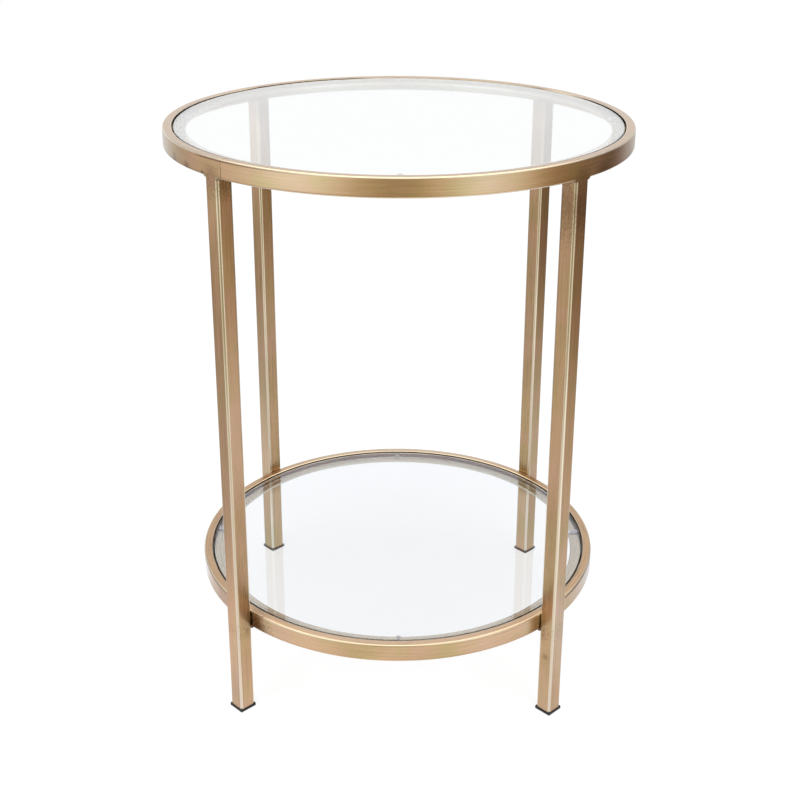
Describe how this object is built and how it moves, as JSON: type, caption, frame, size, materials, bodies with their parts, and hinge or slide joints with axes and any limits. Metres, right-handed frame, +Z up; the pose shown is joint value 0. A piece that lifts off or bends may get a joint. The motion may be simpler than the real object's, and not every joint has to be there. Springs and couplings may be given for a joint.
{
  "type": "side table",
  "caption": "Round side table with a welded gold tube frame, a glass top and a lower glass shelf, both loose on clear pads.",
  "frame": {"origin": "on the floor at the table's vertical axis", "axes": "+Z up, -Y towards the front, +X to the right; the legs stand half way between the axes"},
  "size_m": [0.5, 0.5, 0.6281],
  "materials": {
    "gold_frame": "brushed steel tube with an antique gold lacquer",
    "gold_weld": "steel weld, ground and lacquered antique gold, darker than the tube",
    "clear_glass": "clear float glass with a flat ground edge",
    "black_plastic": "moulded black plastic",
    "clear_pad": "clear soft vinyl"
  },
  "bodies": {
    "frame": {"foot_front_left": "black_plastic", "foot_front_right": "black_plastic", "foot_rear_left": "black_plastic", "foot_rear_right": "black_plastic", "leg_cap_front_left": "gold_frame", "leg_cap_front_right": "gold_frame", "leg_cap_rear_left": "gold_frame", "leg_cap_rear_right": "gold_frame", "leg_front_left": "gold_frame", "leg_front_right": "gold_frame", "leg_rear_left": "gold_frame", "leg_rear_right": "gold_frame", "lower_ledge": "gold_frame", "lower_ledge_welds": "gold_weld", "lower_pad_front": "clear_pad", "lower_pad_left": "clear_pad", "lower_pad_rear": "clear_pad", "lower_pad_right": "clear_pad", "lower_ring": "gold_frame", "lower_ring_seam": "gold_weld", "lower_weld_front_left": "gold_weld", "lower_weld_front_right": "gold_weld", "lower_weld_rear_left": "gold_weld", "lower_weld_rear_right": "gold_weld", "top_ledge": "gold_frame", "top_ledge_welds": "gold_weld", "top_pad_front": "clear_pad", "top_pad_left": "clear_pad", "top_pad_rear": "clear_pad", "top_pad_right": "clear_pad", "top_ring": "gold_frame", "top_ring_seam": "gold_weld", "top_weld_front_left": "gold_weld", "top_weld_front_right": "gold_weld", "top_weld_rear_left": "gold_weld", "top_weld_rear_right": "gold_weld"},
    "top_glass_disc": {"top_glass": "clear_glass"},
    "lower_glass_disc": {"lower_glass": "clear_glass"}
  },
  "joints": [
    {"name": "top_glass_lift", "type": "slide", "parent": "frame", "child": "top_glass_disc", "axis": [0, 0, 1], "range_m": [0, 0.1]},
    {"name": "lower_glass_lift", "type": "slide", "parent": "frame", "child": "lower_glass_disc", "axis": [0, 0, 1], "range_m": [0, 0.45]}
  ]
}
